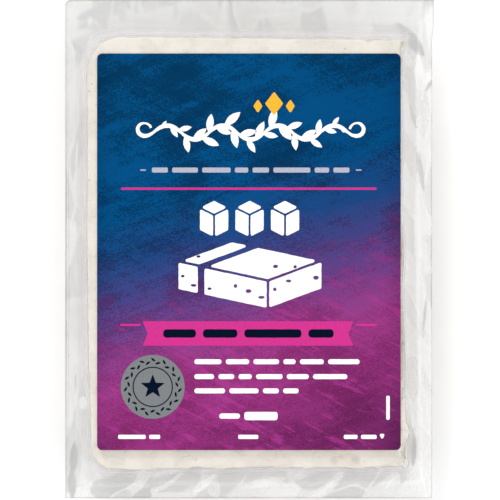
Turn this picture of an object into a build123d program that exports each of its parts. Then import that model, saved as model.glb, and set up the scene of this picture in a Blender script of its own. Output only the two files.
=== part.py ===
"""A vacuum pack of feta: one slab of cheese, sealed into a clear film pouch with a flat
seal all round, and a printed label stuck on the film over the slab's upper face.

The pack lies on its back. +X is across it, +Y is towards its head and +Z is up. The
origin is on the surface it lies on, under the middle of the seal's outline.
"""

import os
from math import atan2, degrees, pi, sin

from build123d import *

# Slab, in millimetres. It was cut from a larger moulded loaf: the -X side and its two
# corners are the loaf's own, and the +X side is the cut, which runs a little uneven.
block_width = 73.5
block_length = 98.9
block_thickness = 20.0
head_corner_radius = 8.2  # moulded corner at the head
foot_corner_radius = 4.6  # moulded corner at the foot
cut_corner_radius = 0.6
edge_radius = 0.5  # top and bottom edges
moulded_lean = 1.3  # how far the moulded side draws in towards the foot
cut_lean = 1.3  # how far the cut side draws in towards the head
head_fall = 0.8  # how far the head end drops towards the cut side
foot_rise = 0.5  # how far the foot end rises towards the cut side
ripple_height = 0.28  # half height of the cut side's long ripple
ripple_pitch = 22.0

# Film pouch: an upper and a lower web of film, shrunk on to the slab and sealed to each
# other in a flat rim that stands out at about half height.
film_thickness = 0.15
seal_height = 9.8  # of the plane where the two webs meet
sweep_radius = 3.2  # where a web sweeps off the slab's sides into the rim
margin_moulded = 5.2  # rim beyond the slab on each side, from the slab to the pack's edge
margin_cut = 6.3
margin_head = 8.9
margin_foot = 7.2
clipped_corner_radius = 1.3  # the one rounded corner of the rim
sharp_corner_radius = 0.3
trim_step = 0.4  # the cut side's edge steps in by this below the head
trim_step_start = 5.5  # from the head
trim_step_run = 4.0

# Label, stuck on the film over the slab's upper face. Its foot edge is free and lifts.
label_thickness = 0.12
label_inset_moulded = 2.5  # strip of cheese left showing on each side
label_inset_cut = 1.7
label_inset_head = 4.0
label_inset_foot = 4.4
label_corner_radius = 1.2
peel_run = 4.0  # length of the free foot edge
peel_lift = 0.9

pack_width = block_width + margin_moulded + margin_cut
pack_length = block_length + margin_head + margin_foot
block_left = margin_moulded - pack_width / 2
block_right = block_left + block_width
block_head = pack_length / 2 - margin_head
block_foot = block_head - block_length
pouch_height = block_thickness + 2 * film_thickness

UPPER, LOWER = 1, -1  # which way a web bulges from the seal


def cut_side_points(grow):
    """Points along the cut side, from foot to head, a few to each wave of its ripple."""
    waves = block_length / ripple_pitch
    spans = 3 * round(waves)
    points = []
    for i in range(spans + 1):
        share = i / spans
        ripple = ripple_height * sin(pi * share) * (sin(2 * pi * waves * share) - 1)
        x = block_right - cut_lean * share * (2 - share) + ripple
        y = block_foot + foot_rise + (block_length - head_fall - foot_rise) * share
        points.append((x + grow, y + grow * (2 * share - 1)))
    return points


def block_plan(grow=0.0):
    """The slab's outline in plan, grown outwards by grow."""
    cut_points = cut_side_points(grow)
    with BuildSketch() as plan:
        with BuildLine():
            Spline(cut_points)
            Polyline(
                cut_points[-1],
                (block_left - grow, block_head + grow),
                (block_left + moulded_lean - grow, block_foot - grow),
                cut_points[0],
            )
        make_face()
        moulded_foot, moulded_head = plan.vertices().sort_by(Axis.X)[:2].sort_by(Axis.Y)
        moulded_corners = ((moulded_head, head_corner_radius), (moulded_foot, foot_corner_radius))
        for corner, radius in moulded_corners:
            fillet(plan.vertices().sort_by_distance(corner)[0], radius=radius + grow)
        fillet(plan.vertices().sort_by(Axis.X)[-2:], radius=cut_corner_radius + grow)
    return plan.sketch


def seal_plan():
    """The pack's outline: the rim's cut edge, with its one rounded corner and its step."""
    side, head = pack_width / 2, pack_length / 2
    with BuildSketch() as plan:
        with BuildLine():
            Polyline(
                (-side, head),
                (-side, -head),
                (side - trim_step, -head),
                (side - trim_step, head - trim_step_start - trim_step_run),
                (side, head - trim_step_start),
                (side, head),
                close=True,
            )
        make_face()
        by_length = plan.vertices().group_by(Axis.Y)
        clipped_corner, sharp_corner = by_length[-1].sort_by(Axis.X)
        fillet(clipped_corner, radius=clipped_corner_radius)
        fillet([sharp_corner, *by_length[0]], radius=sharp_corner_radius)
    return plan.sketch


def shrunk_form(side, grow):
    """The solid that a web is drawn over, on one side of the seal, grown outwards by grow."""
    reach = pouch_height - seal_height if side == UPPER else seal_height
    with BuildPart() as form:
        with BuildSketch(Plane.XY.offset(seal_height + side * grow)):
            add(seal_plan())
        extrude(amount=-side * (1 + grow))
        with BuildSketch(Plane.XY.offset(seal_height)):
            add(block_plan(grow))
        extrude(amount=side * (reach - film_thickness + grow))
        crown = form.faces().sort_by(Axis.Z)[-1 if side == UPPER else 0]
        fillet(crown.edges(), radius=edge_radius + grow)
        rim = form.faces().filter_by(lambda face: face.inner_wires()).sort_by(Axis.Z)[0]
        fillet(rim.inner_wires()[0].edges(), radius=sweep_radius + film_thickness - grow)
    return form.part


with BuildPart() as feta_block:
    with BuildSketch(Plane.XY.offset(film_thickness)):
        add(block_plan())
    extrude(amount=block_thickness)
    levels = feta_block.faces().sort_by(Axis.Z)
    fillet(levels[0].edges() + levels[-1].edges(), radius=edge_radius)

with BuildPart() as upper_web:
    add(shrunk_form(UPPER, film_thickness))
    add(shrunk_form(UPPER, 0), mode=Mode.SUBTRACT)
    split(bisect_by=Plane.XY.offset(seal_height), keep=Keep.TOP)

with BuildPart() as lower_web:
    add(shrunk_form(LOWER, film_thickness))
    add(shrunk_form(LOWER, 0), mode=Mode.SUBTRACT)
    split(bisect_by=Plane.XY.offset(seal_height), keep=Keep.BOTTOM)

label_left = block_left + label_inset_moulded
label_right = block_right - label_inset_cut
label_head = block_head - label_inset_head
label_foot = block_foot + label_inset_foot
peel_angle = 2 * atan2(peel_lift, peel_run)
peel_radius = peel_run / sin(peel_angle)

with BuildPart() as label:
    with BuildSketch(Plane.YZ.offset(label_left)):
        with BuildLine():
            stuck_under = Line((label_head, pouch_height), (label_foot + peel_run, pouch_height))
            free_under = JernArc(stuck_under @ 1, (-1, 0), peel_radius, -degrees(peel_angle))
            stuck_over = Line(
                stuck_under @ 0 + Vector(0, label_thickness),
                stuck_under @ 1 + Vector(0, label_thickness),
            )
            free_over = JernArc(stuck_over @ 1, (-1, 0), peel_radius - label_thickness, -degrees(peel_angle))
            Line(stuck_under @ 0, stuck_over @ 0)
            Line(free_under @ 1, free_over @ 1)
        make_face()
    extrude(amount=label_right - label_left)
    with BuildSketch(Plane.XY.offset(pouch_height)):
        with Locations(((label_left + label_right) / 2, (label_head + label_foot) / 2)):
            RectangleRounded(label_right - label_left, label_head - label_foot, label_corner_radius)
    extrude(amount=peel_lift + 2 * label_thickness, mode=Mode.INTERSECT)

pieces = {"feta_block": feta_block, "upper_web": upper_web, "lower_web": lower_web, "label": label}
os.makedirs("parts", exist_ok=True)
for name, piece in pieces.items():
    piece.part.label = name
    export_step(piece.part, f"parts/{name}.step")
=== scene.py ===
from math import cos, pi, radians, sin, tau

import bpy
import numpy as np
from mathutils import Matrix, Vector, noise


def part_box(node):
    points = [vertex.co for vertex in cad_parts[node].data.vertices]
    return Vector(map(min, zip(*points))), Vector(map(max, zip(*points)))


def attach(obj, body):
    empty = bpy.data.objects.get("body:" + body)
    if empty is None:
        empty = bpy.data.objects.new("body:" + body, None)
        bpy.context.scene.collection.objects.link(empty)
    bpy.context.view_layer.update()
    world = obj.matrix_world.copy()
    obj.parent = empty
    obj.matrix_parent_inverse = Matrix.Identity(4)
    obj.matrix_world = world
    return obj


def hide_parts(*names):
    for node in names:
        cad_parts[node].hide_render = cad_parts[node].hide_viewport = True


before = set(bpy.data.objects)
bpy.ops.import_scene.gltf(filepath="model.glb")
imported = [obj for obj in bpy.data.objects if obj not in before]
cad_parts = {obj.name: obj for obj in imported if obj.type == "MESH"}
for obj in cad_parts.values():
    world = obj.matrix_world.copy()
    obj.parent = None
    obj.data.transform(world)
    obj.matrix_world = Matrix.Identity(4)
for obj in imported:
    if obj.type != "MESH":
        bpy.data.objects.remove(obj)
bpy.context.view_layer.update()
mm = 0.001


# ---------------------------------------------------------------------------------------
# The slab. Close-grained white brined curd, cut from a larger moulded loaf. Its -X side
# and two corners are the mould's own, and its +X side is the cut, which has crumbled.
class Wire:
    """What a node gives. Sums and products of wires and numbers add Math nodes."""

    def __init__(self, net, socket):
        self.net, self.socket = net, socket

    def math(self, operation, *others):
        inputs = dict(enumerate((self, *others)))
        return self.net.node("ShaderNodeMath", {"operation": operation}, inputs)

    def __add__(self, other):
        return self.math("ADD", other)

    def __mul__(self, other):
        return self.math("MULTIPLY", other)

    def __sub__(self, other):
        return self.math("SUBTRACT", other)

    def __rsub__(self, other):
        return (self * -1) + other

    def __truediv__(self, other):
        return self.math("DIVIDE", other)

    def __pow__(self, other):
        return self.math("POWER", other)

    def __rtruediv__(self, other):
        return self.net.node("ShaderNodeMath", {"operation": "DIVIDE"}, {0: other, 1: self})

    __radd__, __rmul__ = __add__, __mul__

    def axis(self, letter):
        """A vector's X, Y or Z."""
        return self.net.node("ShaderNodeSeparateXYZ", None, {0: self}, letter)

    def vector(self, operation, other):
        """Vector maths on this vector and another, or a number to scale it by."""
        inputs = {0: self, "Scale" if operation == "SCALE" else 1: other}
        output = "Value" if operation == "DISTANCE" else "Vector"
        return self.net.node("ShaderNodeVectorMath", {"operation": operation}, inputs, output)

    def ramp(self, low, high, to_low=0.0, to_high=1.0):
        """Eased from to_low where this is low, to to_high where it is high."""
        inputs = {"Value": self, 1: low, 2: high, 3: to_low, 4: to_high}
        return self.net.node("ShaderNodeMapRange", {"interpolation_type": "SMOOTHSTEP"}, inputs)


class Net:
    """A material's or a modifier's node tree."""

    def __init__(self, tree):
        self.tree = tree

    def node(self, kind, settings=None, inputs=None, output=0):
        made = self.tree.nodes.new(kind)
        for name, value in (settings or {}).items():
            if name == "stops":
                ramp = made.color_ramp
                while len(ramp.elements) < len(value):
                    ramp.elements.new(1)
                for element, (place, colour) in zip(ramp.elements, value):
                    element.position = place
                    element.color = colour
            else:
                setattr(made, name, value)
        for key, value in (inputs or {}).items():
            for wire in value if isinstance(value, list) else [value]:
                if isinstance(wire, Wire):
                    self.tree.links.new(wire.socket, made.inputs[key])
                else:
                    made.inputs[key].default_value = wire
        return Wire(self, made.outputs[output])

    def blend(self, factor, first, second, how="MIX"):
        """A colour mix of two colours."""
        settings = {"data_type": "RGBA", "blend_type": how, "clamp_factor": True}
        return self.node("ShaderNodeMix", settings, {0: factor, 6: first, 7: second}, 2)

    def place(self, stretch=(1, 1, 1), lean=0):
        """The piece's own coordinates in millimetres, drawn out along axes that lean in plan."""
        where = self.node("ShaderNodeTexCoord", output="Object")
        scale = tuple(s * mm for s in stretch)
        inputs = {"Vector": where, "Rotation": (0, 0, radians(lean)), "Scale": scale}
        return self.node("ShaderNodeMapping", {"vector_type": "TEXTURE"}, inputs)

    def grain(self, where, size, detail=2.0, rough=0.5, output=0):
        """Noise from 0 to 1, with features about size across."""
        inputs = {"Vector": where, "Scale": 1 / size, "Detail": detail, "Roughness": rough}
        return self.node("ShaderNodeTexNoise", {"noise_dimensions": "3D"}, inputs, output)


def srgb(red, green, blue):
    """A screen colour, from 0 to 255, as the linear one that shaders use."""
    shares = (c / 255 for c in (red, green, blue))
    return (*(c / 12.92 if c < 0.04045 else ((c + 0.055) / 1.055) ** 2.4 for c in shares), 1)


def paint(name):
    """A new material: its net and its Principled shader node."""
    made = bpy.data.materials.new(name)
    made.use_nodes = True
    return made, Net(made.node_tree), made.node_tree.nodes["Principled BSDF"]


def feed(shader, **values):
    """Sets or links a shader's sockets, named with underscores for spaces."""
    for name, value in values.items():
        socket = shader.inputs[name.replace("_", " ")]
        if isinstance(value, Wire):
            value.net.tree.links.new(value.socket, socket)
        else:
            socket.default_value = value


def piece(name, points, faces, finish=None, edges=()):
    """A new mesh piece at the origin, in metres."""
    mesh = bpy.data.meshes.new(name)
    mesh.from_pydata(np.asarray(points, float).tolist(), list(edges), faces)
    mesh.update()
    made = bpy.data.objects.new(name, mesh)
    bpy.context.scene.collection.objects.link(made)
    if finish:
        mesh.materials.append(finish)
    return made


def ringed(name, rings, finish):
    """A closed piece from rings of points, each anticlockwise from above, with a pole at
    each end. The rings run down the outside, from the top pole to the bottom one."""
    count = rings.shape[1]
    points = [rings[0].mean(0), *rings[1:-1].reshape(-1, 3), rings[-1].mean(0)]
    last = len(points) - 1
    faces = [(0, 1 + i, 1 + (i + 1) % count) for i in range(count)]
    for ring in range(len(rings) - 3):
        a, b = 1 + ring * count, 1 + (ring + 1) * count
        for i in range(count):
            j = (i + 1) % count
            faces.append((a + i, b + i, b + j, a + j))
    a = last - count
    faces += [(a + i, last, a + (i + 1) % count) for i in range(count)]
    made = piece(name, points, faces, finish)
    made.data.polygons.foreach_set("use_smooth", [True] * len(faces))
    return made


def cad_points(node, at=None):
    """A CAD node's points in metres, or those at one height."""
    points = np.array([v.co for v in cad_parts[node].data.vertices])
    return points if at is None else points[abs(points[:, 2] - at) < 0.01 * mm]


def walk(points, counts):
    """Even points round an outline, anticlockwise from its +X -Y corner, with a count for
    each of its sides: cut side, head, moulded side and foot."""
    middle = (points.min(0) + points.max(0)) / 2
    angles = np.arctan2(*(points - middle).T[::-1])
    loop = points[np.argsort(angles)]
    loop = np.vstack([loop, loop, loop[:1]])
    along = np.r_[0, np.cumsum(np.linalg.norm(np.diff(loop, axis=0), axis=1))]
    girth = along[len(points)]
    fine = np.arange(0, girth, 0.02 * mm)
    spots = np.c_[np.interp(fine, along, loop[:, 0]), np.interp(fine, along, loop[:, 1])]
    half = (points.max(0) - points.min(0)) / 2
    corners = [middle + half * way for way in ((1, -1), (1, 1), (-1, 1), (-1, -1))]
    starts = [fine[np.argmin(np.linalg.norm(spots - c, axis=1))] for c in corners]
    starts = [starts[0]] + [s if s > starts[0] else s + girth for s in starts[1:]]
    ends = starts[1:] + [starts[0] + girth]
    sides = [np.linspace(s, e, n, endpoint=False) for s, e, n in zip(starts, ends, counts)]
    where = np.concatenate(sides)
    return np.c_[np.interp(where, along, loop[:, 0]), np.interp(where, along, loop[:, 1])]


def inset_rings(outline, insets, heights):
    """Rings of an outline drawn in by each inset, at each height."""
    middle = (outline.min(0) + outline.max(0)) / 2
    half = (outline.max(0) - outline.min(0)) / 2
    rings = []
    for inset, height in zip(insets, heights):
        plan = middle + (outline - middle) * (1 - np.minimum(inset / half, 1))
        rings.append(np.c_[plan, np.full(len(plan), height)])
    return np.array(rings)


slab_low, slab_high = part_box("feta_block")
slab_edge = 0.5 * mm
slab_counts = (260, 192, 260, 192)
slab_wall = cad_points("feta_block", at=slab_high.z - slab_edge)
slab_outline = walk(slab_wall[:, :2], slab_counts)
slab_half = (slab_high.x - slab_low.x) / 2

# The rings down its skin, closest where it shows beside the label and up its sides.
quarter = np.linspace(0, pi / 2, 6)
strip = np.arange(0.5, 5.8, 0.38) * mm
top_insets = np.r_[slab_half, np.geomspace(slab_half - 4 * mm, 7 * mm, 7), strip[::-1]]
under_insets = np.r_[slab_edge + np.geomspace(0.6, 32, 14) * mm, slab_half]
wall_levels = np.linspace(slab_high.z - slab_edge, slab_low.z + slab_edge, 44)[1:-1]
slab_insets = np.r_[top_insets[:-1], slab_edge * (1 - np.sin(quarter)), 0 * wall_levels,
                    slab_edge * (1 - np.cos(quarter)), under_insets]
slab_levels = np.r_[np.full(len(top_insets) - 1, slab_high.z),
                    slab_high.z - slab_edge * (1 - np.cos(quarter)), wall_levels,
                    slab_low.z + slab_edge * (1 - np.sin(quarter)),
                    np.full(len(under_insets), slab_low.z)]


def eased(values, low, high):
    """0 below low, 1 above high, and eased between them."""
    share = np.clip((values - low) / (high - low), 0, 1)
    return share * share * (3 - 2 * share)


def stand_out(along, places):
    """How far the slab stands out along an edge. Each place on it has its middle, half its
    length, and how far it stands out, or back where that is below 0, in millimetres."""
    out = np.zeros_like(along)
    for middle, half, far in places:
        out += far * mm * eased(1 - abs(along / mm - middle) / half, 0, 0.8)
    return out


# The cut broke out near its foot end, the foot edge wavers, the mould's side bows, and the
# head edge has small nicks, each with its middle, half its length and its depth.
cut_breaks = ((-41.6, 2.5, 0.55), (-46.1, 2.5, -0.80), (-49.7, 1.2, 0.25), (47.2, 1.9, 0.5))
foot_waves = ((-24.5, 6.0, 0.28), (-12.0, 2.2, -0.30), (-6.5, 2.0, 0.18), (2.0, 5.0, -0.22),
              (13.5, 1.8, 0.16), (24.5, 3.4, 0.26), (31.5, 2.4, -0.14))
mould_bow = ((-12.0, 42.0, 0.5),)
nicks = ((-18.8, 0.7, 0.35), (-3.9, 0.6, 0.4), (8.7, 0.6, 0.35), (27.4, 1.3, 0.55), (31.5, 0.6, 0.3))
slab_skin = inset_rings(slab_outline, slab_insets, slab_levels)
skin_x, skin_y, skin_z = slab_skin[:, :, 0], slab_skin[:, :, 1], slab_skin[:, :, 2]
near_cut = eased(skin_x, slab_high.x - 3.2 * mm, slab_high.x - 1.2 * mm)
near_mould = 1 - eased(skin_x, slab_low.x + 2.5 * mm, slab_low.x + 6.5 * mm)
near_foot = 1 - eased(skin_y, slab_low.y + 1.2 * mm, slab_low.y + 3.2 * mm)
near_head = eased(skin_y, slab_high.y - 2.2 * mm, slab_high.y - 1.2 * mm)
upper_part = eased(skin_z, 5 * mm, 14 * mm)
top_edge = eased(skin_z, 17.6 * mm, 19.8 * mm)
skin_x += stand_out(skin_y, cut_breaks) * near_cut * upper_part
skin_x -= stand_out(skin_y, mould_bow) * near_mould
skin_y -= stand_out(skin_x, foot_waves) * near_foot * upper_part
for middle, half, deep in nicks:
    notch = np.clip(1 - abs(skin_x / mm - middle) / half, 0, 1)
    skin_y -= deep * mm * notch * near_head * top_edge

curd, net, shader = paint("curd")
slab = ringed("slab", slab_skin, curd)


def modifier_tree(name, sizes):
    """A Geometry Nodes tree with named inputs, its net, and a wire for each input."""
    tree = bpy.data.node_groups.new(name, "GeometryNodeTree")
    tree.interface.new_socket("Geometry", in_out="INPUT", socket_type="NodeSocketGeometry")
    tree.interface.new_socket("Geometry", in_out="OUTPUT", socket_type="NodeSocketGeometry")
    kinds = {int: "NodeSocketInt", float: "NodeSocketFloat", bpy.types.Material: "NodeSocketMaterial"}
    for label, value in sizes.items():
        kind = next(k for k in kinds if isinstance(value, k))
        tree.interface.new_socket(label, in_out="INPUT", socket_type=kinds[kind])
    built = Net(tree)
    group = tree.nodes.new("NodeGroupInput")
    wires = {s.name: Wire(built, s) for s in group.outputs if s.name}
    return tree, built, wires


def finish_tree(built, geometry, material):
    """Ends a tree in Realize Instances and Set Material."""
    solid = built.node("GeometryNodeRealizeInstances", None, {"Geometry": geometry})
    painted = built.node("GeometryNodeSetMaterial", None, {"Geometry": solid, "Material": material})
    end = built.tree.nodes.new("NodeGroupOutput")
    built.tree.links.new(painted.socket, end.inputs[0])


def grow(target, tree, sizes):
    """Runs a tree on a piece with these sizes, and leaves the result as its plain mesh."""
    modifier = target.modifiers.new(tree.name, "NODES")
    modifier.node_group = tree
    for item in tree.interface.items_tree:
        if item.in_out == "INPUT" and item.name in sizes:
            modifier[item.identifier] = sizes[item.name]
    bpy.context.view_layer.update()
    seen = target.evaluated_get(bpy.context.evaluated_depsgraph_get())
    mesh = bpy.data.meshes.new_from_object(seen)
    target.modifiers.remove(modifier)
    target.data = mesh
    return target


# Relief, all of it inwards: slow unevenness, grain, pores, the crumbled cut and nicked edges.
curd_sizes = {
    "Unevenness": 0.10 * mm, "Grain": 0.05 * mm, "Pore Spacing": 3.0 * mm, "Pore Depth": 0.45 * mm,
    "Pore Share": 0.42, "Chip": 0.6 * mm, "Chip Length": 5.0 * mm, "Crumb": 0.3 * mm,
    "Crumb Length": 1.7 * mm, "Nick": 0.5 * mm, "Nick Length": 2.0 * mm, "Cut Side": slab_high.x,
    "Top": slab_high.z, "Foot": slab_low.z, "Seed": 4, "Curd": curd,
}
tree, graph, size = modifier_tree("curd relief", curd_sizes)
where = graph.node("GeometryNodeInputPosition")
normal = graph.node("GeometryNodeInputNormal")
seed_shift = graph.node("ShaderNodeCombineXYZ", None, {"X": size["Seed"] * 0.7})
shifted = where.vector("ADD", seed_shift)


def curd_noise(length, detail, flatten=1.0):
    """Noise from 0 to 1 over the slab, stretched up its sides by 1 / flatten."""
    return graph.grain(shifted.vector("MULTIPLY", (1, 1, flatten)), length, detail, 0.55)


uneven = curd_noise(14 * mm, 1.0) * size["Unevenness"]
grainy = curd_noise(1.3 * mm, 3.0) * size["Grain"]
cell_inputs = {"Vector": shifted, "Scale": 1 / size["Pore Spacing"]}
near = graph.node("ShaderNodeTexVoronoi", {"feature": "F1"}, cell_inputs, "Distance")
lot = graph.node("ShaderNodeTexVoronoi", {"feature": "F1"}, cell_inputs, "Color")
ragged = curd_noise(1.6 * mm, 2.0) * 0.16
chosen = lot.math("LESS_THAN", size["Pore Share"])
pore = (near + ragged).ramp(0.12, 0.26, 1.0, 0.0) * chosen
at_cut = (where.axis("X") - size["Cut Side"]).ramp(-2.2 * mm, -1.2 * mm)
chipped = curd_noise(size["Chip Length"], 2.0, 0.5).ramp(0.47, 0.62)
crumbled = curd_noise(size["Crumb Length"], 3.0).ramp(0.40, 0.62)
height = where.axis("Z")
at_edge = (height - size["Top"]).ramp(-2.4 * mm, -0.9 * mm)
at_edge = at_edge + (height - size["Foot"]).ramp(0.9 * mm, 2.4 * mm, 1.0, 0.2)
nicked = curd_noise(size["Nick Length"], 3.0).ramp(0.55, 0.64) * size["Nick"] * (1 - at_cut) * at_edge
on_side = normal.axis("Z").math("ABSOLUTE").ramp(0.2, 0.8, 1.0, 0.0)
crumble = (chipped * size["Chip"] + crumbled * size["Crumb"]) * at_cut + nicked * on_side
depth = uneven + grainy + pore * size["Pore Depth"] + crumble
inward = normal.vector("SCALE", depth * -1)
relief = graph.node("GeometryNodeSetPosition", None, {"Geometry": size["Geometry"], "Offset": inward})
for name, value in (("pore", pore), ("crumble", crumble / size["Chip"])):
    relief = graph.node("GeometryNodeStoreNamedAttribute", {"data_type": "FLOAT", "domain": "POINT"},
                        {"Geometry": relief, "Name": name, "Value": value})
finish_tree(graph, relief, size["Curd"])
grow(slab, tree, curd_sizes)

# Moist and cream white, with a faint mottle and fine seams, painted shade in its pores, and a drier cut
# strip that carries a painted shadow of the label's edge.
here = net.place()
mottle = net.grain(here, 5.0, 3.0)
fine = net.grain(here, 0.5, 4.0, 0.6)
speck = net.grain(net.place((1, 1, 1), 25), 0.9, 2.0)
bent = net.grain(here, 2.5, output="Color").vector("SCALE", 2.6)
lumps = net.place((1.25, 1, 0.8)).vector("ADD", bent)
seam_inputs = {"Vector": lumps, "Scale": 1 / 4.6}
seam = net.node("ShaderNodeTexVoronoi", {"feature": "DISTANCE_TO_EDGE"}, seam_inputs, "Distance")
seam = seam.ramp(0.0, 0.075, 1.0, 0.0) * mottle.ramp(0.40, 0.60)
patch = net.grain(net.place((1.4, 1, 1), 60), 3.4, 3.0, 0.6)
from_cut = here.axis("X") - slab_high.x / mm
# Along the cut side the curd is drier and browner, and darkened further with a painted shadow of the
# label's edge, fading out towards the foot.
dry_strip_and_shadow = from_cut.ramp(-2.3, -1.3) * patch.ramp(0.3, 0.7, 1.0, 0.6)
dry_strip_and_shadow = dry_strip_and_shadow * here.axis("Y").ramp(-40, -22)
from_top = here.axis("Z") - slab_high.z / mm
coarser = from_top.ramp(-1.4, -0.5, 1.0, 0.4)
pore_shade = net.node("ShaderNodeAttribute", {"attribute_name": "pore"}, None, "Fac")
broken = net.node("ShaderNodeAttribute", {"attribute_name": "crumble"}, None, "Fac")
tint = net.blend(mottle.ramp(0.38, 0.62), srgb(228, 222, 213), srgb(220, 213, 203))
tint = net.blend(fine.ramp(0.45, 0.75) * 0.5, tint, srgb(222, 215, 205))
tint = net.blend(patch.ramp(0.56, 0.68) * coarser * 0.4, tint, srgb(200, 188, 172))
tint = net.blend(broken * 0.4, tint, srgb(238, 233, 226))
# The cut strip's drier colour and the label's painted shadow.
tint = net.blend(dry_strip_and_shadow * 0.9, tint, srgb(170, 156, 140))
tint = net.blend(seam * coarser * 0.30, tint, srgb(196, 184, 168))
# Dark marks on the upper face: each one's place, radius and strength.
dark_marks = (
    (19.4, -48.4, 1.5, 0.30), (24.1, -48.2, 1.3, 0.36), (-36.0, 37.7, 0.28, 0.7), (-36.6, 36.0, 0.3, 0.7),
    (-36.6, 15.7, 0.26, 0.8), (-36.4, 11.1, 0.26, 0.8), (1.5, 47.2, 0.3, 0.5), (21.8, 45.7, 0.4, 0.4),
)
for x, y, radius, strength in dark_marks:
    away = here.vector("DISTANCE", (x, y, slab_high.z / mm))
    mark = (away / radius + (patch - 0.5) * 1.2).ramp(0.3, 1.0, 1.0, 0.0)
    tint = net.blend(mark * strength, tint, srgb(158, 143, 128))
# Painted shade in the pores, deeper up the sides than on the upper face.
tint = net.blend(pore_shade * (coarser * 0.5 + 0.3), tint, srgb(158, 143, 126))
tint = net.blend(speck.ramp(0.70, 0.76) * coarser * 0.8, tint, srgb(160, 143, 124))
bump_inputs = {"Strength": 0.7, "Distance": 0.08 * mm, "Height": fine + mottle * 1.5 - seam * 1.2}
bump = net.node("ShaderNodeBump", None, bump_inputs)
feed(shader, Base_Color=tint, Roughness=fine.ramp(0.3, 0.7, 0.42, 0.62), Normal=bump,
     Subsurface_Weight=0.08, Subsurface_Scale=0.8 * mm, Subsurface_Radius=(1.0, 0.8, 0.55))
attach(slab, "root")
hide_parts("feta_block")


# ---------------------------------------------------------------------------------------
# The film pouch. Two webs of clear gloss film, drawn on to the slab by vacuum and welded
# to each other in a flat rim. Where the webs sweep off the slab they pull into creases.
web_low, web_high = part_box("upper_web")
seal_level = web_low.z
film = web_high.z - slab_high.z
film_edge = slab_edge + film
film_counts = (290, 210, 290, 210)
rim_points = cad_points("upper_web", at=seal_level)[:, :2]
slab_box = np.array([slab_low[:2], slab_high[:2]])

# Under vacuum the film follows the slab's broken side, bridging its narrow hollows.
slab_ahead = np.roll(slab_outline, -1, axis=0) - np.roll(slab_outline, 1, axis=0)
slab_ahead /= np.linalg.norm(slab_ahead, axis=1)[:, None]
slab_outward = np.c_[slab_ahead[:, 1], -slab_ahead[:, 0]]
slab_rings = np.array([v.co for v in slab.data.vertices])[1:-1].reshape(-1, sum(slab_counts), 3)
stand = ((slab_rings[:, :, :2] - slab_outline) * slab_outward).sum(2).max(0)
bridge = np.hanning(11)[1:-1]
bridged = np.convolve(np.r_[stand[-4:], stand, stand[:4]], bridge / bridge.sum(), "valid")
drawn_outline = slab_outline + slab_outward * np.maximum(stand, bridged)[:, None]

# Only the rim's cut edge lies this far beyond the slab, at the level of the seal.
beyond = 4.2 * mm
past_slab = (rim_points < slab_box[0] - beyond) | (rim_points > slab_box[1] + beyond)
rim_points = rim_points[past_slab.any(axis=1)]
rim_outline = walk(rim_points, film_counts)
slab_middle = slab_box.mean(0)
slab_reach = (slab_box[1] - slab_box[0]) / 2
wall_outline = walk(drawn_outline, film_counts)
wall_outline = slab_middle + (wall_outline - slab_middle) * (1 + film / slab_reach)
gap = np.linalg.norm(rim_outline - wall_outline, axis=1)
outwards = (rim_outline - wall_outline) / gap[:, None]


def round_the_slab(values, blend=14):
    """One value for each side, blended round the corners over a number of columns."""
    steps = np.repeat(values, film_counts)
    kernel = np.hanning(2 * blend + 1)
    padded = np.concatenate([steps[-blend:], steps, steps[:blend]])
    return np.convolve(padded, kernel / kernel.sum(), "valid")


def waves(points, size, seed):
    """Smooth noise from -1 to 1 at each point of a plan, with features about size across."""
    return np.array([noise.noise(Vector((x / size, y / size, seed))) for x, y in points])


def facets(points, lean, long, short, warp, seed):
    """Cells drawn out long in the direction of lean. Returns how far each point is up its
    cell's side, how far inside the cell it is, and the cell's own number, -1 to 1."""
    turn = np.array([[cos(lean), sin(lean)], [-sin(lean), cos(lean)]])
    local = (points @ turn.T) / (long, short)
    local += warp * np.c_[waves(local, 1.1, seed + 5), waves(local, 1.1, seed + 9)]
    height, inside, lot = [], [], []
    for x, y in local:
        near, centres = noise.voronoi(Vector((x, y, seed)))
        height.append(near[0] ** 2)
        inside.append(near[1] - near[0])
        lot.append(2 * noise.cell(centres[0] * 7.3) - 1)
    return np.array(height), eased(np.array(inside), 0, 0.12), np.array(lot)


# The rim's painted light, above 0 where it is painted brighter and below 0 where it is painted darker, and
# the heights of its creases, waves, folds and draws, each for the cut side, the head, the moulded side and
# the foot.
painted_side_light = round_the_slab([0.66, -0.24, -0.14, 0.14])
crease_depth = round_the_slab([0.17, 0.08, 0.11, 0.22]) * mm
wave_height = round_the_slab([0.20, 0.06, 0.12, 0.28]) * mm
fold_depth = round_the_slab([0.16, 0.0, 0.05, 0.16]) * mm
draw_depth = round_the_slab([0.20, 0.16, 0.16, 0.22]) * mm
facet_tone = round_the_slab([0.20, 0.10, 0.08, 0.22])
draw_pitch = 3.4 * mm
girth_way = np.r_[0, np.cumsum(np.linalg.norm(np.diff(wall_outline, axis=0), axis=1))]

# How the creases of each of those sides lean, and their length, width and warp.
crease_kinds = (
    (radians(-68), 14 * mm, 4.6 * mm, 0.35), (radians(88), 12 * mm, 5.5 * mm, 0.5),
    (radians(80), 15 * mm, 4.8 * mm, 0.3), (radians(40), 8.5 * mm, 4.6 * mm, 0.7),
)

# How far the sweep reaches out from the slab, with a flat stretch left beside the cut edge.
rim_flat = 1.5 * mm
sweep_width = (gap - rim_flat) * (0.92 + 0.08 * waves(wall_outline, 13 * mm, 2.5))
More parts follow.
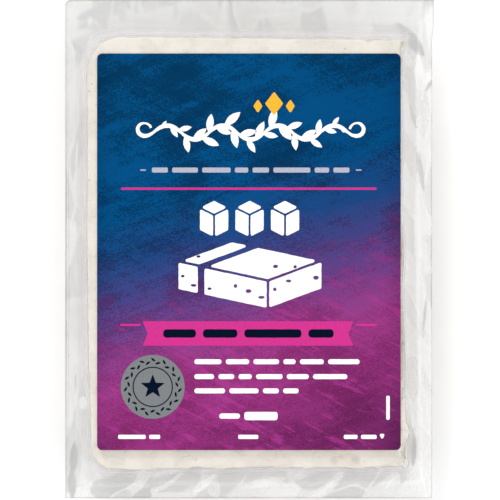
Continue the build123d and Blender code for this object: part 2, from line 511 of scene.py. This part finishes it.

# The larger folds, each a leaf: its place, half length and half width in millimetres, its lean in degrees,
# and its tone, which is below 0 in a grey fold, denser film darkened with painted shade, and above 0 in a
# bright one, a painted highlight.
folds = (
    (-36.8, 54.0, 3.7, 1.5, 18, -0.50), (-33.6, 52.0, 3.8, 1.0, -82, -0.45),
    (-36.8, 52.6, 1.3, 0.8, 80, -0.18), (-39.0, 49.8, 3.2, 1.1, 10, -0.14),
    (-39.6, 46.4, 3.0, 0.9, -52, -0.45), (-39.1, 34.0, 3.4, 0.5, 88, -0.30),
    (-29.4, 54.7, 3.0, 1.2, 90, -0.40), (-17.0, 54.5, 2.6, 1.0, 84, -0.35),
    (-7.6, 54.8, 2.4, 1.1, 96, -0.30), (6.5, 54.0, 7.0, 0.8, 3, -0.20),
    (37.2, 48.3, 5.4, 1.7, -50, -0.85), (34.3, 46.9, 4.4, 0.3, -50, 0.30),
    (39.3, 39.5, 6.2, 1.5, -85, 0.45), (41.3, 37.6, 2.1, 0.7, 60, -0.40),
    (40.6, 32.6, 2.6, 0.3, -72, 0.60), (37.7, 30.7, 3.6, 0.7, -75, -0.40),
    (38.5, 29.8, 4.6, 0.3, -66, 0.70), (39.4, 18.0, 6.4, 0.9, -80, -0.35),
    (38.7, 2.0, 9.5, 1.0, -88, 0.70), (40.4, -15.5, 6.0, 0.6, 84, -0.35),
    (37.2, -45.0, 5.8, 1.5, -84, -1.00), (39.1, -39.9, 3.8, 1.0, 80, 0.60),
    (40.8, -35.0, 8.4, 0.3, 88, 0.40), (38.2, -50.4, 3.2, 0.5, 44, 0.65),
    (40.7, -46.9, 2.9, 0.4, 66, 0.55), (32.4, -54.0, 3.0, 0.6, 52, 0.60),
    (40.0, -54.0, 3.9, 0.35, 66, 0.60), (41.0, -54.8, 2.6, 0.25, 60, 0.55),
    (-40.1, -30.7, 3.4, 0.5, 90, -0.50), (-38.4, -35.5, 2.0, 1.2, 84, 0.42),
    (-40.2, -38.6, 3.9, 0.45, -88, -0.45), (-41.3, -38.0, 5.4, 0.25, 90, 0.45),
    (-40.6, -48.4, 4.6, 1.15, 86, -0.90), (-41.0, -54.2, 4.2, 1.2, 92, -0.80),
    (-39.9, 21.0, 6.0, 0.3, 88, 0.55), (-38.6, -54.6, 2.4, 0.4, 86, -0.25),
    (-20.5, -53.5, 5.0, 1.4, 24, -0.35), (-10.5, -54.2, 4.2, 1.2, 38, 0.45),
    (3.0, -54.0, 6.0, 1.2, 12, 0.35), (16.5, -53.8, 4.4, 1.3, 30, -0.30),
)
fold_edge = 0.45  # millimetres over which a fold's tone comes in

# Beside the slab a painted shadow darkens the film, along the foot and up the first stretch of the cut
# side.
painted_contact_shadow = round_the_slab([-0.95, 0.0, 0.0, -0.45])
painted_contact_shadow *= 1 - eased(wall_outline[:, 1], -40 * mm, -22 * mm)
contact_shadow_run = 2.6 * mm

# The film lies calmer towards the head, and the cut side's painted light is no brighter there.
by_head = eased(wall_outline[:, 1], 18 * mm, 42 * mm)
crease_depth *= 1 - 0.8 * by_head
wave_height *= 1 - 0.75 * by_head
fold_depth *= 1 - 0.6 * by_head
painted_side_light -= round_the_slab([0.48, 0, 0, 0]) * by_head


def rim_relief(plan, outward):
    """Height of the rim's waves, creases and folds at points of the plan, and their tone, which carries the
    painted light and shade.
    """
    relief = np.zeros(len(plan))
    tone = painted_side_light + painted_contact_shadow * (1 - eased(outward, 0.3 * mm, contact_shadow_run))
    for side, kind in enumerate(crease_kinds):
        share = round_the_slab(np.eye(4)[side], 10)
        there = share > 0.001
        height, inside, lot = facets(plan[there], *kind, 3.1 + side)
        relief[there] += (share * crease_depth)[there] * (height - 0.3)
        tone[there] += (share * facet_tone)[there] * lot * inside
    relief += waves(plan, 21 * mm, 7.7) * wave_height
    for x, y, long, wide, lean, strength in folds:
        turn = radians(lean)
        aside, up = plan[:, 0] / mm - x, plan[:, 1] / mm - y
        along = (aside * cos(turn) + up * sin(turn)) / long
        across = (up * cos(turn) - aside * sin(turn)) / wide
        inside = np.clip(1 - along ** 2 - abs(across), 0, 1)
        mask = eased(inside * wide, 0, fold_edge)
        tone += (strength - tone) * mask
        relief += np.sign(strength) * inside * wide * fold_depth
    relief *= eased(outward, 0, 3 * mm)
    drawn = waves(np.c_[girth_way + 0.4 * outward, 0.25 * outward], draw_pitch, 4.4)
    in_draw = eased(outward, 0, 0.7 * mm) * (1 - eased(outward, 0.35 * gap, 0.85 * gap))
    relief += np.clip(1 - 4 * abs(drawn), 0, 1) * draw_depth * in_draw
    return relief, tone


# The sweep's steps out and down, and the last rings' distances from the cut edge. Then the
# weld line's place, half width, height and tone, and the cut edge's run and tone.
sweep_out = np.linspace(0, 1, 31) ** 1.35
sweep_up = (1 - sweep_out ** 0.75) ** 2.3
edge_steps = np.array([1.25, 1.05, 0.92, 0.84, 0.76, 0.68, 0.5, 0.3, 0.12, 0.0]) * mm
weld_inset, weld_half, weld_height, weld_tone = 0.84 * mm, 0.16 * mm, 0.05 * mm, 0.35
cut_run, cut_tone = 0.4 * mm, 1.1
on_long_side = round_the_slab([1, 0, 1, 0], 3)
rings, tones, covers = [], [], []


def add_ring(plan, heights, tone, cover):
    """Adds a ring, with its tone, and how nearly it lies on the slab, from 0 to 1."""
    rings.append(np.c_[plan, np.broadcast_to(heights, len(plan))])
    tones.append(np.broadcast_to(tone, len(plan)))
    covers.append(np.broadcast_to(cover, len(plan)))


def web(side, crown, sweep_share, stride):
    """Adds one web's rings: its flat face over the slab, the rounded edge, the sweep and
    the rim. side is 1 for the upper web and -1 for the lower one, crown its flat level, and
    stride how many of the sweep's steps each of its rings takes."""
    flat = [(inset, 0) for inset in (slab_half, *np.geomspace(slab_half - 4 * mm, 1.2 * mm, 8))]
    for inset, turn in flat + [(film_edge * (1 - sin(turn)), turn) for turn in quarter[:-1]]:
        level = crown - side * film_edge * (1 - cos(turn))
        add_ring(inset_rings(wall_outline, [inset], [0])[0][:, :2], level, 0, 1 - 0.06 * turn)
    shoulder = crown - side * film_edge
    rim_level = seal_level + side * film
    width = sweep_width * sweep_share
    for out, up in zip(sweep_out[::stride], sweep_up[::stride]):
        outward = width * out
        plan = wall_outline + outwards * outward[:, None]
        relief, tone = rim_relief(plan, outward)
        height = rim_level + (shoulder - rim_level) * up + relief
        add_ring(plan, height, tone * (1 - up), 0.9 * up)
    flat_run = gap - width - edge_steps[0]
    outs = [width + flat_run * share for share in (0.25, 0.5, 0.75)]
    outs += [gap - step for step in edge_steps]
    for outward in outs:
        plan = wall_outline + outwards * outward[:, None]
        relief, tone = rim_relief(plan, outward)
        from_edge = gap - outward
        weld = np.clip(1 - abs(from_edge - weld_inset) / weld_half, 0, 1) * on_long_side
        cut = np.clip(1 - from_edge / cut_run, 0, 1)
        level = rim_level + relief + side * weld * weld_height
        add_ring(plan, level, tone - weld * weld_tone - cut * cut_tone, 0)


web(1, web_high.z, 1.0, 1)
upper_rings = len(rings)
web(-1, 0.0, 0.9, 2)
for layer in (rings, tones, covers):
    layer[upper_rings:] = layer[upper_rings:][::-1]
rings = np.array(rings)
rings[:, :, 2] = np.clip(rings[:, :, 2], 0, web_high.z)

clear_film, net, shader = paint("clear_film")
pouch = ringed("film_pouch", rings, clear_film)
for name, layer in (("tone", tones), ("cover", covers)):
    values = np.array(layer)
    values = np.r_[values[0].mean(), values[1:-1].ravel(), values[-1].mean()]
    stored = pouch.data.attributes.new(name, "FLOAT", "POINT")
    stored.data.foreach_set("value", values.astype(np.float32))

# Clear over the slab, and hazier in the sweep and the rim, where its two webs lie loose.
tone = net.node("ShaderNodeAttribute", {"attribute_name": "tone"}, None, "Fac")
cover = net.node("ShaderNodeAttribute", {"attribute_name": "cover"}, None, "Fac")
cloud = net.grain(net.place(), 6.0, 2.0)
off_slab = 1 - cover.ramp(0.45, 0.88)
in_sweep = cover.ramp(0.0, 0.6) * off_slab
# The tone paints light and shade into the haze: above 0 more and whiter haze as painted highlights, below 0
# more and greyer haze as painted shade.
milky = off_slab * 0.21 + in_sweep * 0.12 + tone.math("ABSOLUTE") * 0.22 + (cloud - 0.5) * off_slab * 0.08
milk_tone = tone.ramp(-0.8, 0.5, 0.36, 0.97) + in_sweep * 0.1
clear = net.node("ShaderNodeBsdfTransparent", None, {"Color": (0.99, 0.99, 0.99, 1)})
gloss = net.node("ShaderNodeBsdfAnisotropic", None, {"Color": (1, 1, 1, 1), "Roughness": 0.11})
facing = net.node("ShaderNodeLayerWeight", None, {"Blend": 0.5}, "Facing")
bounce = facing ** 5 * 0.9 + 0.04
skin = net.node("ShaderNodeMixShader", None, {0: bounce, 1: clear, 2: gloss})
feed(shader, Base_Color=milk_tone, Roughness=0.35)
milk = Wire(net, shader.outputs[0])
skin = net.node("ShaderNodeMixShader", None, {0: milky, 1: skin, 2: milk})
net.tree.links.new(skin.socket, net.tree.nodes["Material Output"].inputs["Surface"])
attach(pouch, "root")
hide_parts("upper_web", "lower_web")


# ---------------------------------------------------------------------------------------
# The label. A printed plastic film label, stuck on the pouch over the slab's upper face,
# deep blue at its head and magenta at its foot, whose foot edge has lifted.
label_low, label_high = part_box("label")
label_span = (label_high.y - label_low.y) / mm
label_half_width = (label_high.x - label_low.x) / mm / 2
label_middle = ((label_high.x + label_low.x) / mm / 2, (label_high.y + label_low.y) / mm / 2)
slant = 0.30  # the blue reaches this much further down, for each millimetre to the left

label_paper, net, shader = paint("label_paper")
here = net.place()
across, along = here.axis("X"), here.axis("Y")
blotch = net.grain(net.place((1.5, 1, 1), 24), 13.0, 2.0, 0.5)
rising = net.grain(net.place((14, 1.5, 1), 21), 1.0, 5.0, 0.62)
falling = net.grain(net.place((11, 1.2, 1), -28), 1.0, 5.0, 0.62)
sponge = net.grain(net.place((1.3, 1, 1), 21), 0.32, 3.0, 0.6)
smear = net.grain(net.place((7, 3, 1), 21), 1.0, 6.0, 0.7)

# The ink's colour down the label, where it lies thin, and how far it is laid on thick.
down = (label_high.y / mm - along) + across * slant
share = down / label_span + (blotch - 0.5) * 0.16 + (smear - 0.5) * 0.10
thin_stops = [
    (0.00, srgb(0, 75, 125)), (0.31, srgb(0, 74, 127)), (0.42, srgb(26, 68, 126)),
    (0.52, srgb(67, 65, 129)), (0.61, srgb(106, 63, 133)), (0.69, srgb(142, 61, 133)),
    (0.78, srgb(158, 57, 133)), (0.90, srgb(144, 49, 119)), (1.00, srgb(124, 42, 104)),
]
thin_ink = net.node("ShaderNodeValToRGB", {"stops": thin_stops}, {"Fac": share})
thickness = net.blend(share.ramp(0.4, 0.75), (0.55, 0.46, 0.45, 1), (0.66, 0.58, 0.64, 1))
thick_ink = net.blend(1.0, thin_ink, thickness, "MULTIPLY")
laid_on = 0.28 + (blotch - 0.5) * 2.0 + (rising - 0.5) * 1.0 + (falling - 0.5) * 0.8 + (smear - 0.5) * 1.4
laid_on = laid_on + sponge.ramp(0.42, 0.62) * (0.2 + blotch * 0.6)
printed_ink = net.blend(laid_on.ramp(0.15, 0.85), thin_ink, thick_ink)
dry_brush = (falling * 0.6 + smear * 0.4 + (sponge - 0.5) * 0.25).ramp(0.53, 0.58)
printed_ink = net.blend(dry_brush * share.ramp(0.45, 0.8) * 0.55, printed_ink, srgb(178, 60, 148))

# It is darker at its corners and sides and on its right, and has a few navy flecks.
to_side = ((across - label_middle[0]) / label_half_width).math("ABSOLUTE")
to_end = ((along - label_middle[1]) / label_span * 2).math("ABSOLUTE")
in_corner = to_side ** 6 * to_end ** 6
at_side = to_side.ramp(0.86, 1.0) * 0.14
on_right = (across / label_half_width).ramp(-0.2, 0.9) * 0.11
shade = (0, 0.005, 0.02, 1)
printed_ink = net.blend(at_side + on_right + in_corner * 0.3, printed_ink, shade)
fleck = net.grain(net.place((1, 1, 1), 40), 0.55, 1.0)
printed_ink = net.blend(fleck.ramp(0.745, 0.775) * 0.7, printed_ink, srgb(6, 26, 60))
upwards = net.node("ShaderNodeNewGeometry", output="True Normal").axis("Z").ramp(0.2, 0.5)
ground = net.blend(upwards, srgb(226, 224, 220), printed_ink)
feed(shader, Base_Color=ground, Roughness=sponge.ramp(0.3, 0.7, 0.40, 0.50), Specular_IOR_Level=0.03)
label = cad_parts["label"]
label.data.materials.clear()
label.data.materials.append(label_paper)


# ---------------------------------------------------------------------------------------
# The label's print. Flat inks, laid on the ground colour in plain shapes: a garland over a
# line of small print, cubes and a slab of cheese, a ribbon, an award's disc and small print.
upper_faces = [face for face in label.data.polygons if face.normal.z > 0.3]
upper_spots = {i for face in upper_faces for i in face.vertices}
label_profile = sorted((label.data.vertices[i].co.y, label.data.vertices[i].co.z) for i in upper_spots)
label_rows, label_tops = np.array(label_profile).T
ink_thickness = 0.04 * mm
ink_sunk = 0.01 * mm


def ink(name, colour):
    """A printing ink: even, and very slightly mottled."""
    made, net, shader = paint(name)
    grain = net.grain(net.place(), 0.5, 3.0)
    weaker = (*(0.88 * c for c in colour[:3]), 1)
    tint = net.blend(grain.ramp(0.45, 0.75), colour, weaker)
    feed(shader, Base_Color=tint, Roughness=grain.ramp(0.3, 0.7, 0.40, 0.50), Specular_IOR_Level=0.03)
    return made


white_ink = ink("white_ink", srgb(250, 250, 250))
pink_ink = ink("pink_ink", srgb(204, 52, 139))
navy_ink = ink("navy_ink", srgb(2, 14, 34))
gold_ink = ink("gold_ink", srgb(248, 181, 54))
silver_ink = ink("silver_ink", srgb(123, 127, 129))
pale_ink = ink("pale_ink", srgb(178, 178, 194))


def thickened(net, flat, thickness):
    """A flat shape made a closed solid, standing up from its own plane."""
    inputs = {"Mesh": flat, "Offset Scale": thickness, "Individual": False}
    raised = net.node("GeometryNodeExtrudeMesh", {"mode": "FACES"}, inputs)
    under = net.node("GeometryNodeFlipFaces", None, {"Mesh": flat})
    both = net.node("GeometryNodeJoinGeometry", None, {"Geometry": [raised, under]})
    return net.node("GeometryNodeMergeByDistance", None, {"Geometry": both, "Distance": 0.001 * mm})


# Closed outlines, softened at their corners, filled and thickened. One inside another is a hole.
print_sizes = {
    "Corner": 0.1 * mm, "Step": 0.25 * mm, "Wobble": 0.0, "Wobble Length": 1.4 * mm,
    "Thickness": ink_thickness, "Seed": 3, "Ink": white_ink,
}
shape_tree, graph, size = modifier_tree("printed shape", print_sizes)
curve = graph.node("GeometryNodeMeshToCurve", None, {"Mesh": size["Geometry"]})
fillet_inputs = {"Curve": curve, "Count": 5, "Radius": size["Corner"], "Limit Radius": True}
curve = graph.node("GeometryNodeFilletCurve", {"mode": "POLY"}, fillet_inputs)
step_inputs = {"Curve": curve, "Length": size["Step"]}
curve = graph.node("GeometryNodeResampleCurve", {"mode": "LENGTH"}, step_inputs)
seed_shift = graph.node("ShaderNodeCombineXYZ", None, {"Z": size["Seed"] * (7 * mm)})
where = graph.node("GeometryNodeInputPosition")
shake = graph.grain(where.vector("ADD", seed_shift), size["Wobble Length"], 1.0, output="Color")
shake = shake.vector("SUBTRACT", (0.5, 0.5, 0.5)).vector("MULTIPLY", (2, 2, 0))
shake = shake.vector("SCALE", size["Wobble"])
curve = graph.node("GeometryNodeSetPosition", None, {"Geometry": curve, "Offset": shake})
flat = graph.node("GeometryNodeFillCurve", {"mode": "TRIANGLES"}, {"Curve": curve})
finish_tree(graph, thickened(graph, flat, size["Thickness"]), size["Ink"])

# Pointed leaves along a path, leaning from it to one side or to both in turn.
leaf_sizes = {
    "Count": 24, "Leaf Length": 3.6 * mm, "Leaf Width": 1.3 * mm, "Lean": radians(46),
    "Both Sides": 1.0, "Size Spread": 0.22, "End Taper": 0.6, "Thickness": ink_thickness,
    "Seed": 5, "Ink": white_ink,
}
leaf_tree, graph, size = modifier_tree("leaves along a path", leaf_sizes)
path = graph.node("GeometryNodeMeshToCurve", None, {"Mesh": size["Geometry"]})
path = graph.node("GeometryNodeResampleCurve", {"mode": "COUNT"}, {"Curve": path, "Count": size["Count"]})
disc = graph.node("GeometryNodeMeshCircle", {"fill_type": "NGON"}, {"Vertices": 16, "Radius": 1.0})
where = graph.node("GeometryNodeInputPosition")
long_way, short_way = where.axis("X"), where.axis("Y")
leaf_x = (long_way + 1) * 0.5 * size["Leaf Length"]
leaf_y = short_way * short_way.math("ABSOLUTE") * 0.5 * size["Leaf Width"]
leaf_place = graph.node("ShaderNodeCombineXYZ", None, {"X": leaf_x, "Y": leaf_y})
leaf = graph.node("GeometryNodeSetPosition", None, {"Geometry": disc, "Position": leaf_place})
tangent = graph.node("GeometryNodeInputTangent")
path_turn = tangent.axis("Y").math("ARCTAN2", tangent.axis("X"))
second = graph.node("GeometryNodeInputIndex").math("MODULO", 2)
turned = path_turn + size["Lean"] * (1 - second * size["Both Sides"] * 2)
turned = graph.node("ShaderNodeCombineXYZ", None, {"Z": turned})
turned = graph.node("FunctionNodeEulerToRotation", None, {0: turned})
uneven_inputs = {2: 1 - size["Size Spread"], 3: 1 + size["Size Spread"], 8: size["Seed"]}
uneven = graph.node("FunctionNodeRandomValue", {"data_type": "FLOAT"}, uneven_inputs, 1)
reached = graph.node("GeometryNodeSplineParameter", output="Factor")
from_middle = (reached * 2 - 1).math("ABSOLUTE") ** 4
leaf_scale = uneven * (1 - from_middle * size["End Taper"])
instance_inputs = {"Points": path, "Instance": leaf, "Rotation": turned, "Scale": leaf_scale}
leaves = graph.node("GeometryNodeInstanceOnPoints", None, instance_inputs)
leaves = graph.node("GeometryNodeRealizeInstances", None, {"Geometry": leaves})
finish_tree(graph, thickened(graph, leaves, size["Thickness"]), size["Ink"])


def outlines(name, loops, closed=True):
    """A piece of bare outlines, from loops or paths of points in millimetres."""
    points, edges = [], []
    for loop in loops:
        first, count = len(points), len(loop)
        points += [(x * mm, y * mm, 0) for x, y in loop]
        edges += [(first + i, first + (i + 1) % count) for i in range(count if closed else count - 1)]
    return piece(name, points, [], edges=edges)


def lay(made, level):
    """Lays a flat print on the label, its foot sunk by a hair, at a level above it."""
    for vertex in made.data.vertices:
        vertex.co.z += np.interp(vertex.co.y, label_rows, label_tops) - ink_sunk + level * mm
    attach(made, "root")


def printed(name, loops, finish, corner=0.1, wobble=0.0, level=0.0):
    """Prints closed outlines on the label. All sizes are in millimetres."""
    sizes = {**print_sizes, "Corner": corner * mm, "Wobble": wobble * mm, "Ink": finish}
    lay(grow(outlines(name, loops), shape_tree, sizes), level)


def leafy(name, path, closed, level=0.0, **sizes):
    """Prints leaves along a path. The sizes are the tree's, with underscores for spaces."""
    named = {key.replace("_", " "): value for key, value in sizes.items()}
    lay(grow(outlines(name, [path], closed), leaf_tree, {**leaf_sizes, **named}), level)


def bar(left, right, y, height):
    """A bar's corners."""
    low, high = y - height / 2, y + height / 2
    return [(left, low), (right, low), (right, high), (left, high)]


def words(left, right, y, height, count, seed):
    """Bars of uneven length that fill one line, as small print looks from afar."""
    lengths = np.random.default_rng(seed).uniform(1.3, 4.0, count)
    space = 0.85 * height
    lengths *= (right - left - space * (count - 1)) / lengths.sum()
    starts = left + np.r_[0, np.cumsum(lengths + space)[:-1]]
    return [bar(start, start + length, y, height) for start, length in zip(starts, lengths)]


def circle(x, y, radius, count=72):
    """Points round a circle, anticlockwise from +X."""
    turns = [tau * i / count for i in range(count)]
    return [(x + radius * cos(turn), y + radius * sin(turn)) for turn in turns]


def stroke(path, widths):
    """The outline of a brush stroke along a path."""
    ahead = np.gradient(path, axis=0)
    ahead /= np.linalg.norm(ahead, axis=1)[:, None]
    aside = np.c_[-ahead[:, 1], ahead[:, 0]] * widths[:, None] / 2
    return np.vstack([path - aside, (path + aside)[::-1]])


def drawn_in(corners, gap):
    """A convex anticlockwise outline with each side moved in by half a gap."""
    corners = np.array(corners, float)
    ahead = np.roll(corners, -1, axis=0) - corners
    ahead /= np.linalg.norm(ahead, axis=1)[:, None]
    behind = np.roll(ahead, 1, axis=0)
    turn_sin = behind[:, 0] * ahead[:, 1] - behind[:, 1] * ahead[:, 0]
    return corners + (ahead - behind) * (gap / 2 / turn_sin)[:, None]


# The garland, the same to both sides of its middle: a waving stem that curls at its ends.
garland_middle, garland_half = (0.4, 25.0), 34.5
run = np.linspace(-garland_half, garland_half, 221)
curl = np.sign(run) * (np.clip(abs(run) - 24.0, 0, None) / 10.5) ** 2 * 3.9
heading = 0.72 * np.sin(tau * run / 14.5) + curl
step = run[1] - run[0]
garland = np.cumsum(np.c_[np.cos(heading), np.sin(heading)], axis=0) * step
garland += garland_middle - garland[len(run) // 2]
stem_widths = 0.60 + 0.42 * abs(np.cos(tau * run / 14.5)) - 0.3 * (abs(run) / garland_half) ** 6
printed("print_garland", [stroke(garland, stem_widths)], white_ink, 0.1, 0.05)
leafy("print_garland_leaves", garland[36:-36], False, -0.012, Count=24, Leaf_Length=4.3 * mm,
      Leaf_Width=1.7 * mm)

# Three gold lozenges over it, and a line of small print with a dash at each end under it.
lozenges = [[(x - wide / 2, y), (x, y - tall / 2), (x + wide / 2, y), (x, y + tall / 2)]
            for x, y, wide, tall in ((5.6, 33.2, 4.2, 5.4), (1.9, 32.6, 2.1, 3.2), (9.3, 32.6, 2.1, 3.2))]
printed("print_lozenges", lozenges, gold_ink, 0.25, 0.04)
caption = [bar(-25.0, -23.6, 18.0, 0.3), *words(-22.3, 22.8, 18.0, 1.15, 8, 11), bar(24.2, 25.6, 18.0, 0.3)]
printed("print_caption", caption, pale_ink, 0.3)

# Rules: one across, and one at each end of the ribbon, cut to follow its notch.
left_rule = [(-29.5, -17.6), (-25.0, -17.6), (-24.7, -17.1), (-29.5, -17.1)]
right_rule = [(29.0, -17.1), (24.2, -17.1), (24.5, -17.6), (29.0, -17.6)]
printed("print_rules", [bar(-29.3, 29.0, 13.75, 0.52), left_rule, right_rule], pink_ink, 0.05)

# Three cubes of cheese over a slab with a slice cut from it, as flat faces parted by gaps.
cube_width, cube_rise, cube_side, cube_gap = 6.9, 3.45, 5.3, 0.45
cube_faces = []
for middle in (-8.1, 0.0, 8.1):
    left, right = (middle - cube_width / 2, 9.5), (middle + cube_width / 2, 9.5)
    front, back = (middle, 9.5 - cube_rise / 2), (middle, 9.5 + cube_rise / 2)
    low_left, low_right = (left[0], left[1] - cube_side), (right[0], right[1] - cube_side)
    low_front = (front[0], front[1] - cube_side)
    for face in ((left, front, right, back), (left, low_left, low_front, front),
                 (front, low_front, low_right, right)):
        cube_faces.append(drawn_in(face, cube_gap))
printed("print_cubes", cube_faces, white_ink, 0.3, 0.07)

block_corner, block_along, block_across = np.array([(-16.5, -2.8), (20.7, -4.4), (12.5, 4.6)])
block_down = np.array([0, -6.6])
block_gap, slice_start, slice_gap = 0.6, 0.24, 0.045


def block_face(start, one_way, other_way):
    """One face of the printed slab, anticlockwise from its start, with its pores."""
    start = np.array(start)
    corners = [start, start + one_way, start + one_way + other_way, start + other_way]
    pores = []
    draws = np.random.default_rng(int(abs(start[0] * 31 + start[1] * 17) + abs(one_way[0] * 5)))
    length = np.linalg.norm(one_way)
    for share in np.arange(0.5, round(length / 3.2)) / round(length / 3.2):
        spot = start + one_way * share + other_way * draws.uniform(0.25, 0.75)
        wide, tall = draws.uniform(0.35, 0.85), draws.uniform(0.25, 0.5)
        if draws.uniform() < 0.75:
            pores.append([(spot[0] + wide * cos(tau * i / 9), spot[1] + tall * sin(tau * i / 9))
                          for i in range(9)])
    return [drawn_in(corners, block_gap), *pores]


block_loops = []
for begin, end in ((0, slice_start), (slice_start + slice_gap, 1)):
    part_start, part_along = block_corner + block_along * begin, block_along * (end - begin)
    block_loops += block_face(part_start, part_along, block_across)
    block_loops += block_face(part_start + block_down, part_along, -block_down)
block_loops += block_face(block_corner + block_along + block_down, block_across, -block_down)
printed("print_block", block_loops, white_ink, 0.3, 0.09)

# The ribbon, with its notched ends and four dark words.
ribbon = [(-24.4, -22.1), (23.7, -22.1), (22.55, -19.3), (23.7, -16.5), (-24.4, -16.5), (-23.25, -19.3)]
printed("print_ribbon", [ribbon], pink_ink, 0.05)
printed("print_ribbon_words", words(-19.7, 19.2, -19.3, 1.9, 4, 2), navy_ink, 0.75, 0.05, 0.02)

# The award's disc: silver, with a wreath of leaves, a fine ring and a plain star.
disc_x, disc_y = -22.1, -31.5
star_reach = (2.9, 1.2)  # of its tips, and of the notches between them
star = [(disc_x + star_reach[i % 2] * sin(pi * i / 5), disc_y + star_reach[i % 2] * cos(pi * i / 5))
        for i in range(10, 0, -1)]
printed("print_disc", [circle(disc_x, disc_y, 7.3)], silver_ink)
disc_marks = [circle(disc_x, disc_y, 4.6), circle(disc_x, disc_y, 4.35), star]
printed("print_disc_marks", disc_marks, navy_ink, 0.05, 0.0, 0.02)
leafy("print_disc_leaves", circle(disc_x, disc_y, 5.85), True, 0.02, Count=30, Leaf_Length=1.3 * mm,
      Leaf_Width=0.5 * mm, Lean=radians(32), Size_Spread=0.0, End_Taper=0.0, Ink=navy_ink)

# The small print.
notes = words(-12.6, 25.1, -25.75, 1.15, 6, 21) + words(-12.6, 22.3, -29.15, 1.15, 6, 22)
notes += words(-12.6, 11.2, -32.4, 1.15, 4, 23)
printed("print_notes", notes, white_ink, 0.5, 0.04)
weight = [bar(-6.9, -2.2, -38.15, 1.2), bar(-1.2, 6.4, -38.15, 1.9)]
printed("print_weight", weight, white_ink, 0.5, 0.04)
foot_words = words(-30.0, -20.4, -42.9, 0.95, 2, 31) + words(-2.6, 2.0, -42.9, 0.95, 1, 32)
foot_words += words(21.5, 29.0, -42.9, 0.95, 2, 33) + [[(30.25, -43.7), (30.9, -42.2), (29.6, -42.2)]]
printed("print_foot_words", [*foot_words, bar(31.2, 32.0, -36.25, 5.5)], white_ink, 0.25)


# ---------------------------------------------------------------------------------------
# The floor, the studio's soft lights and the camera. A ceiling light and four fills keep the
# shadows faint, the key comes low from beyond the head, and the camera looks straight down.
floor_paint, net, shader = paint("floor")
feed(shader, Base_Color=(0.98, 0.98, 0.98, 1), Roughness=0.7, Specular_IOR_Level=0.1)
floor_corners = [(x, y, 0) for x, y in bar(-3.0, 3.0, 0, 6.0)]
floor = piece("floor", floor_corners, [(0, 1, 2, 3)], floor_paint)

world = bpy.data.worlds.new("studio")
world.use_nodes = True
net = Net(world.node_tree)
diffuse_ray = net.node("ShaderNodeLightPath", output="Is Diffuse Ray")
feed(world.node_tree.nodes["Background"], Color=(1, 1, 1, 1), Strength=0.95 - diffuse_ray * 0.65)
bpy.context.scene.world = world


def softbox(name, azimuth, elevation, distance, size, power):
    """A square area light that faces the pack, from an azimuth clockwise from +Y."""
    lamp = bpy.data.lights.new(name, "AREA")
    lamp.shape, lamp.size, lamp.energy = "SQUARE", size, power
    made = bpy.data.objects.new(name, lamp)
    bpy.context.scene.collection.objects.link(made)
    turn, rise = radians(azimuth), radians(elevation)
    spot = distance * Vector((cos(rise) * sin(turn), cos(rise) * cos(turn), sin(rise)))
    made.location = spot
    made.rotation_euler = spot.to_track_quat("Z", "Y").to_euler()
    return made


ceiling = softbox("ceiling", 0, 90, 1.1, 1.3, 4.0)
ceiling.visible_glossy = False
key = softbox("key", -22, 32, 1.2, 0.4, 6.3)
key.visible_glossy = False
softbox("fill_right", 95, 36, 1.2, 0.8, 5.0)
softbox("fill_left", -110, 36, 1.2, 0.8, 2.4)
softbox("fill_foot", 180, 36, 1.2, 0.8, 3.4)
softbox("fill_head", 0, 40, 1.2, 0.8, 0.8)

camera_data = bpy.data.cameras.new("camera")
camera = bpy.data.objects.new("camera", camera_data)
bpy.context.scene.collection.objects.link(camera)
bpy.context.scene.camera = camera
camera_data.sensor_width = 36
camera_data.lens = 300
view_width = 115.4 * mm
camera_height = view_width * camera_data.lens / camera_data.sensor_width
camera.location = (0.1 * mm, -0.25 * mm, seal_level + camera_height)
bpy.context.scene.view_settings.view_transform = "Standard"
